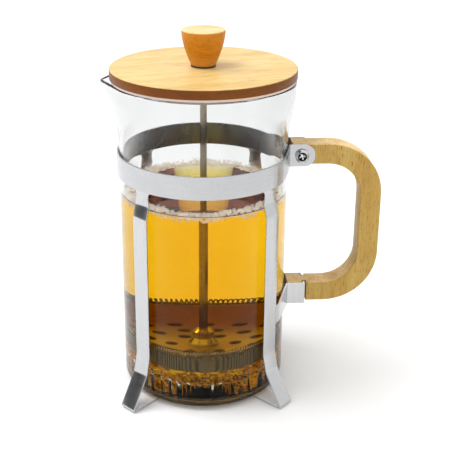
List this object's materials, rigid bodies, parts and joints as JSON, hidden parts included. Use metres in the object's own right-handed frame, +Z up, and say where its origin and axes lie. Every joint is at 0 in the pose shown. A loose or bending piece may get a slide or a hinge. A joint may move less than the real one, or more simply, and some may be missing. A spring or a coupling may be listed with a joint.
{
  "type": "french press",
  "caption": "Glass beaker in a steel leg frame with a wooden handle, and a wooden lid that carries a sliding plunger with a perforated filter.",
  "frame": {"origin": "middle of the object's footprint box on the table, under the beaker and a little towards the handle; the beaker's own axis is 23.2 mm from it along -X", "axes": "+Z up, +X from the beaker to the handle, -X to the pouring spout"},
  "size_m": [0.1636, 0.1064, 0.2157],
  "materials": {
    "steel_brushed": "fine brushed stainless strip, satin",
    "steel_polished": "polished stainless steel",
    "filter_steel": "pressed stainless sheet and spring wire, smooth",
    "mesh_steel": "fine woven stainless gauze",
    "handle_wood": "satin lacquered light hardwood with small dark flecks",
    "lid_wood": "satin lacquered light hardwood, straight grain, darker sealed edge",
    "knob_wood": "satin lacquered turned hardwood, warmer tone",
    "glass": "clear borosilicate glass",
    "silicone": "matt translucent food-grade silicone",
    "black_rubber": "matt black rubber",
    "brass": "turned brass"
  },
  "bodies": {
    "frame": {"upper_band": "steel_brushed", "leg_front_left": "steel_brushed", "leg_front_right": "steel_brushed", "leg_back_left": "steel_brushed", "leg_back_right": "steel_brushed", "lower_strap_front": "steel_brushed", "lower_strap_back": "steel_brushed", "handle": "handle_wood", "clamp_screw": "steel_polished", "clamp_nut": "steel_polished"},
    "glass_beaker": {"beaker": "glass"},
    "seal": {"lid_seal": "silicone"},
    "lid": {"lid_disc": "lid_wood", "lid_pan": "steel_brushed", "lid_bush": "steel_polished", "lid_nut": "steel_polished"},
    "plunger": {"knob": "knob_wood", "knob_insert": "brass", "knob_washer": "black_rubber", "plunger_rod": "steel_polished", "rod_hub": "steel_polished", "filter_plate": "filter_steel", "coil_spring": "filter_steel", "mesh_screen": "mesh_steel", "cross_plate": "filter_steel", "bottom_nut": "steel_polished"}
  },
  "joints": [
    {"name": "beaker_lift", "type": "slide", "parent": "frame", "child": "glass_beaker", "axis": [0, 0, 1], "range_m": [0, 0.16]},
    {"name": "lid_lift", "type": "slide", "parent": "glass_beaker", "child": "seal", "axis": [0, 0, 1], "range_m": [0, 0.19]},
    {"name": "lid_turn", "type": "hinge", "parent": "seal", "child": "lid", "pos_m": [-0.0232, 0, 0.192], "axis": [0, 0, 1], "continuous": true},
    {"name": "plunger_slide", "type": "slide", "parent": "lid", "child": "plunger", "axis": [0, 0, 1], "range_m": [0, 0.145]}
  ]
}
